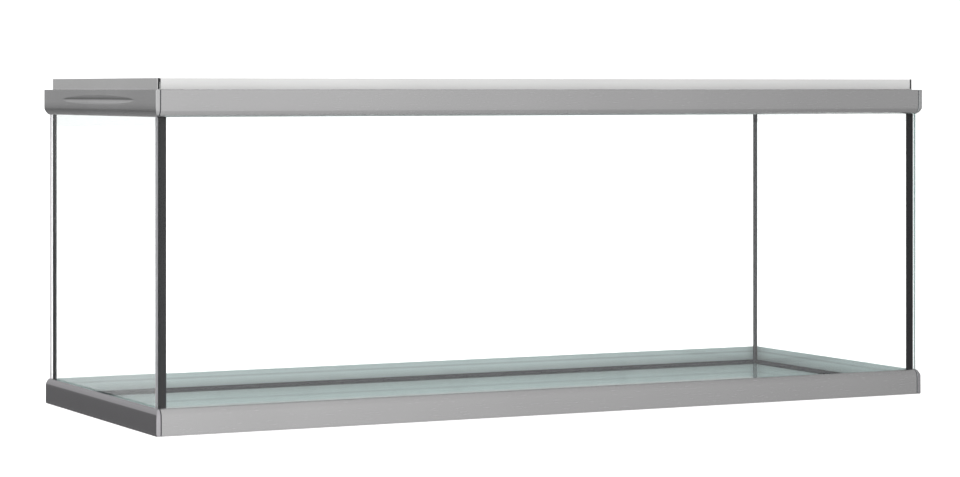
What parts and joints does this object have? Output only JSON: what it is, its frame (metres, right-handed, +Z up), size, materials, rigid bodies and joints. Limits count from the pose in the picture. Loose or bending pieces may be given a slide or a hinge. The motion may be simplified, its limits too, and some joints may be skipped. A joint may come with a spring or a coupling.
{
  "type": "glass aquarium tank",
  "caption": "Long rectangular glass aquarium with a silver-grey base frame and a lift-off aluminium hood with end caps, finger scoops, hinged flaps and a light bridge.",
  "frame": {"origin": "centre of the base frame's underside", "axes": "+X to the right along the front, +Y to the back, +Z up; the front faces -Y"},
  "size_m": [1.6146, 0.6196, 0.6251],
  "materials": {
    "wall_glass": "clear float glass with ground edges",
    "base_glass": "clear float glass seen in depth, teal",
    "black_silicone": "tooled black silicone, satin",
    "base_aluminium": "silver-grey anodised extrusion, fine lengthwise grain",
    "hood_aluminium": "silver-grey anodised extrusion, fine lengthwise grain",
    "base_cap_plastic": "silver-grey moulded plastic, satin",
    "hood_cap_plastic": "silver-grey moulded plastic, satin",
    "deck_side_aluminium": "natural anodised sheet, satin",
    "flap_aluminium": "natural anodised sheet, satin",
    "seam_rubber": "dark rubber, matte",
    "glazing_foam": "closed-cell foam, matte",
    "key_plastic": "glass-filled nylon",
    "screw_steel": "stainless",
    "bracket_aluminium": "mill finish",
    "rivet_aluminium": "mill finish",
    "black_plastic": "black moulded plastic, satin",
    "reflector_aluminium": "polished aluminium sheet",
    "lamp_tube": "white phosphor tube with metal ferrules",
    "socket_plastic": "black sealed end sockets",
    "clip_plastic": "clear-white spring clips",
    "lead_pvc": "light grey PVC leads"
  },
  "bodies": {
    "tank": {"front_glass": "wall_glass", "rear_glass": "wall_glass", "left_glass": "wall_glass", "right_glass": "wall_glass", "base_glass": "base_glass", "front_left_silicone": "black_silicone", "front_right_silicone": "black_silicone", "rear_left_silicone": "black_silicone", "rear_right_silicone": "black_silicone", "base_silicone": "black_silicone", "front_brace": "wall_glass", "rear_brace": "wall_glass", "left_cross_brace": "wall_glass", "right_cross_brace": "wall_glass", "brace_silicone": "black_silicone", "base_front_rail": "base_aluminium", "base_rear_rail": "base_aluminium", "base_left_cap": "base_cap_plastic", "base_right_cap": "base_cap_plastic", "base_corner_keys": "key_plastic", "base_key_screws": "screw_steel", "base_seam_gaskets": "seam_rubber", "base_glazing_strips": "glazing_foam"},
    "hood": {"hood_front_rail": "hood_aluminium", "hood_rear_rail": "hood_aluminium", "hood_left_cap": "hood_cap_plastic", "hood_right_cap": "hood_cap_plastic", "hood_corner_keys": "key_plastic", "hood_key_screws": "screw_steel", "hood_seam_gaskets": "seam_rubber", "hood_seal_strips": "glazing_foam", "hood_corner_brackets": "bracket_aluminium", "hood_rivets": "rivet_aluminium", "deck_left_side": "deck_side_aluminium", "deck_right_side": "deck_side_aluminium", "flap_rest_profiles": "black_plastic", "bridge_cover": "flap_aluminium", "bridge_front_side": "flap_aluminium", "bridge_rear_side": "flap_aluminium", "bridge_end_plugs": "black_plastic", "bridge_screws": "screw_steel", "front_reflector": "reflector_aluminium", "rear_reflector": "reflector_aluminium", "front_light_tube": "lamp_tube", "rear_light_tube": "lamp_tube", "tube_sockets": "socket_plastic", "tube_clips": "clip_plastic", "lamp_leads": "lead_pvc", "terminal_box": "black_plastic", "cable_gland": "black_plastic"},
    "front_lid": {"front_flap": "flap_aluminium", "front_flap_lip": "flap_aluminium", "front_hinge_leaves": "bracket_aluminium", "front_hinge_pins": "screw_steel", "front_flap_grip": "black_plastic"},
    "rear_lid": {"rear_flap": "flap_aluminium", "rear_flap_lip": "flap_aluminium", "rear_hinge_leaves": "bracket_aluminium", "rear_hinge_pins": "screw_steel", "rear_flap_grip": "black_plastic"}
  },
  "joints": [
    {"name": "hood_lift", "type": "slide", "parent": "tank", "child": "hood", "axis": [0, 0, 1], "range_m": [0, 0.2]},
    {"name": "front_flap_hinge", "type": "hinge", "parent": "hood", "child": "front_lid", "pos_m": [0, -0.0516, 0.6217], "axis": [-1, 0, 0], "range_deg": [0, 95]},
    {"name": "rear_flap_hinge", "type": "hinge", "parent": "hood", "child": "rear_lid", "pos_m": [0, 0.0516, 0.6217], "axis": [1, 0, 0], "range_deg": [0, 95]}
  ]
}
